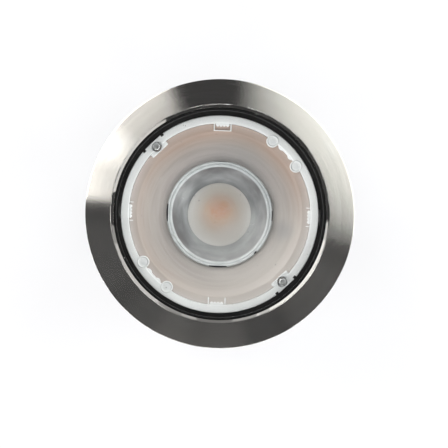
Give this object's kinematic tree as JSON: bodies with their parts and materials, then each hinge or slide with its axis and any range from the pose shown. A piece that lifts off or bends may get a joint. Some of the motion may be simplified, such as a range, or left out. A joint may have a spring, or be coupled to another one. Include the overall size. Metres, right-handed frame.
{
  "type": "in-ground spotlight",
  "caption": "Round recessed ground spotlight with a steel bezel, glass cover and a lens head that swivels and tilts in a ribbed watertight housing.",
  "frame": {"origin": "on the lamp's axis in the ground plane, which is the plane of the bezel's underside", "axes": "+Z up out of the ground along the lamp's axis, +X to the right and +Y up in the picture"},
  "size_m": [0.112, 0.112, 0.1439],
  "materials": {
    "bezel_steel": "turned, concentric brushing",
    "glass": "clear, polished",
    "black_rubber": "matt",
    "cast_black": "fine-textured powder coat",
    "plated_steel": "zinc plated",
    "spring_steel": "bright strip",
    "screw_steel": "bright",
    "washer_plastic": "natural nylon",
    "black_plastic": "fine matt",
    "potting": "poured, slightly glossy",
    "terminal_plastic": "matt",
    "brass": "bright",
    "nickel": "nickel-plated, satin",
    "white_plastic": "satin white",
    "lens": "frosted front, slightly warm",
    "collar": "smoky, satin",
    "ceramic_white": "satin",
    "phosphor": "silicone with phosphor",
    "pad": "matt",
    "cast_aluminium": "cast, tumbled"
  },
  "bodies": {
    "root": {"bezel_ring": "bezel_steel", "cover_glass": "glass", "glass_gasket": "black_rubber", "housing_rim": "cast_black", "housing": "cast_black", "chamber_floor": "cast_black", "stop_pin": "screw_steel", "driver_box": "cast_black", "cover_flange": "cast_black", "spring_bosses": "cast_black", "cooling_ribs": "cast_black", "swivel_bolt": "plated_steel", "swivel_nut": "plated_steel", "spring_washer": "spring_steel", "friction_washer": "washer_plastic", "driver_case": "black_plastic", "driver_potting": "potting", "driver_screws": "screw_steel", "terminal_block": "terminal_plastic", "terminal_screws": "screw_steel", "earth_screw": "brass", "bottom_cover": "cast_black", "cover_seal": "black_rubber", "cover_screws": "screw_steel", "gland_body": "nickel", "gland_washer": "black_rubber", "gland_seal": "black_rubber", "gland_nut": "nickel", "gland_locknut": "nickel", "vent_plug": "black_plastic", "spring_anchors": "spring_steel", "spring_screws": "screw_steel"},
    "yoke": {"swivel_yoke": "plated_steel"},
    "lamp_head": {"lens_holder": "white_plastic", "tir_lens": "lens", "lens_collar": "collar", "light_source_holder": "white_plastic", "light_source_screws": "screw_steel", "light_source_board": "ceramic_white", "light_source_disc": "phosphor", "thermal_pad": "pad", "heat_sink": "cast_aluminium", "holder_screws": "screw_steel", "tilt_screws": "screw_steel", "tilt_washers": "washer_plastic"},
    "spring_1": {"retaining_spring_1": "spring_steel"},
    "spring_2": {"retaining_spring_2": "spring_steel"},
    "spring_3": {"retaining_spring_3": "spring_steel"}
  },
  "joints": [
    {"name": "swivel", "type": "hinge", "parent": "root", "child": "yoke", "pos_m": [0, 0, -0.07577], "axis": [0, 0, 1], "range_deg": [-166, 170]},
    {"name": "tilt", "type": "hinge", "parent": "yoke", "child": "lamp_head", "pos_m": [0, 0, -0.028], "axis": [0.9994, -0.0349, 0], "range_deg": [-10, 10]},
    {"name": "spring_1_press", "type": "hinge", "parent": "root", "child": "spring_1", "pos_m": [0.01273, 0.04752, -0.08522], "axis": [0.9659, -0.2588, 0], "range_deg": [0, 4.5], "stiffness_Nm_per_rad": 3.2},
    {"name": "spring_2_press", "type": "hinge", "parent": "root", "child": "spring_2", "pos_m": [-0.04752, -0.01273, -0.08522], "axis": [-0.2588, 0.9659, 0], "range_deg": [0, 4.5], "stiffness_Nm_per_rad": 3.2},
    {"name": "spring_3_press", "type": "hinge", "parent": "root", "child": "spring_3", "pos_m": [0.03479, -0.03479, -0.08522], "axis": [-0.7071, -0.7071, 0], "range_deg": [0, 4.5], "stiffness_Nm_per_rad": 3.2}
  ]
}
